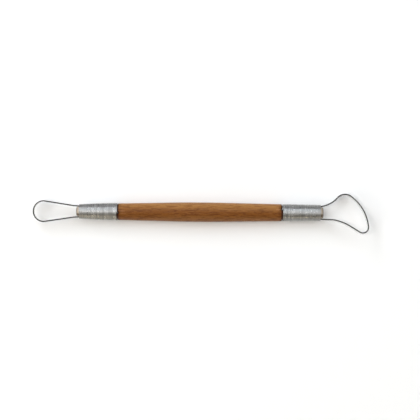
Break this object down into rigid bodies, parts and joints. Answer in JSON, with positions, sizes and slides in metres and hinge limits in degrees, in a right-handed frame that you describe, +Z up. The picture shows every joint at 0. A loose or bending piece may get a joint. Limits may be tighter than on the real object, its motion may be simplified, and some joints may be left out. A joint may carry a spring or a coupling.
{
  "type": "double-ended loop tool",
  "caption": "Turned hardwood handle with a cutting loop of flat steel strip at each end, one pear-shaped and one kidney-shaped, each bound on with wound wire, for trimming and hollowing clay.",
  "frame": {"origin": "middle of the flat facet under the belly of the handle, which the tool rests on", "axes": "+X along the handle towards the large kidney loop, +Y across it towards the large loop's shorter lobe, +Z up, square to the plane of the small loop"},
  "size_m": [0.1645, 0.0201, 0.0095],
  "materials": {
    "oiled_hardwood": "oiled, fine straight grain, slight sheen",
    "loop_steel": "bright flat steel strip on edge, lightly worn",
    "binding_wire": "bright zinc-coated wire, close turns"
  },
  "bodies": {
    "root": {"handle": "oiled_hardwood", "small_loop": "loop_steel", "large_loop": "loop_steel", "small_end_binding": "binding_wire", "large_end_binding": "binding_wire"}
  },
  "joints": []
}
